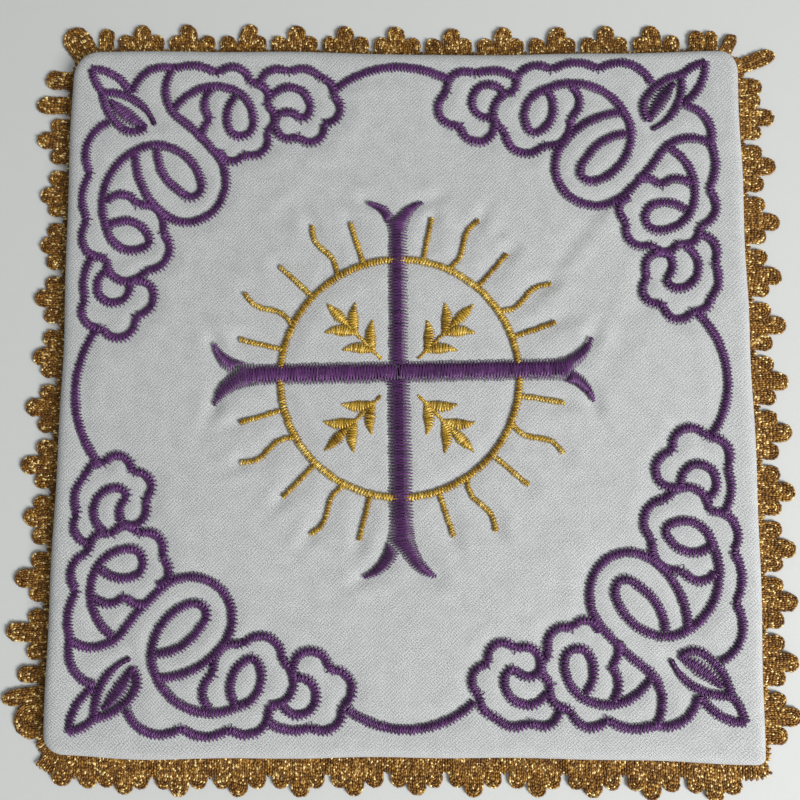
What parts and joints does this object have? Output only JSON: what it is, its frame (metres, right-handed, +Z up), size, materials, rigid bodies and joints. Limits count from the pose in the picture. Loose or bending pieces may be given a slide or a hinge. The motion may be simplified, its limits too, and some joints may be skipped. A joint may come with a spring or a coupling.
{
  "type": "chalice pall",
  "caption": "Square stiffened altar cloth that covers a chalice: white cloth with a rolled edge, gold picot lace all round, purple cross, gold sunburst and purple rose outlines at the corners.",
  "frame": {"origin": "on the surface that the pall rests on, under the middle of the whole outline, lace included", "axes": "+X to the right of the cross, +Y to the head of the cross, +Z up out of the embroidered face"},
  "size_m": [0.1812, 0.182, 0.0065],
  "materials": {
    "white_cloth": "fine twill, cool white, matte with a faint sheen",
    "gold_lace": "braid of bronze-gold metallic yarn with bright glints",
    "purple_thread": "satin stitch in dark purple thread with a silky sheen",
    "gold_thread": "satin stitch in yellow gold metallic thread"
  },
  "bodies": {
    "root": {"pall_cloth": "white_cloth", "lace_back": "gold_lace", "lace_right": "gold_lace", "lace_front": "gold_lace", "lace_left": "gold_lace", "corner_back_left": "purple_thread", "corner_back_right": "purple_thread", "corner_front_right": "purple_thread", "corner_front_left": "purple_thread", "arc_back": "purple_thread", "arc_right": "purple_thread", "arc_front": "purple_thread", "arc_left": "purple_thread", "cross": "purple_thread", "sunburst_back_left": "gold_thread", "sunburst_front_left": "gold_thread", "sunburst_front_right": "gold_thread", "sunburst_back_right": "gold_thread", "sprig_back_left": "gold_thread", "sprig_front_left": "gold_thread", "sprig_front_right": "gold_thread", "sprig_back_right": "gold_thread"}
  },
  "joints": []
}
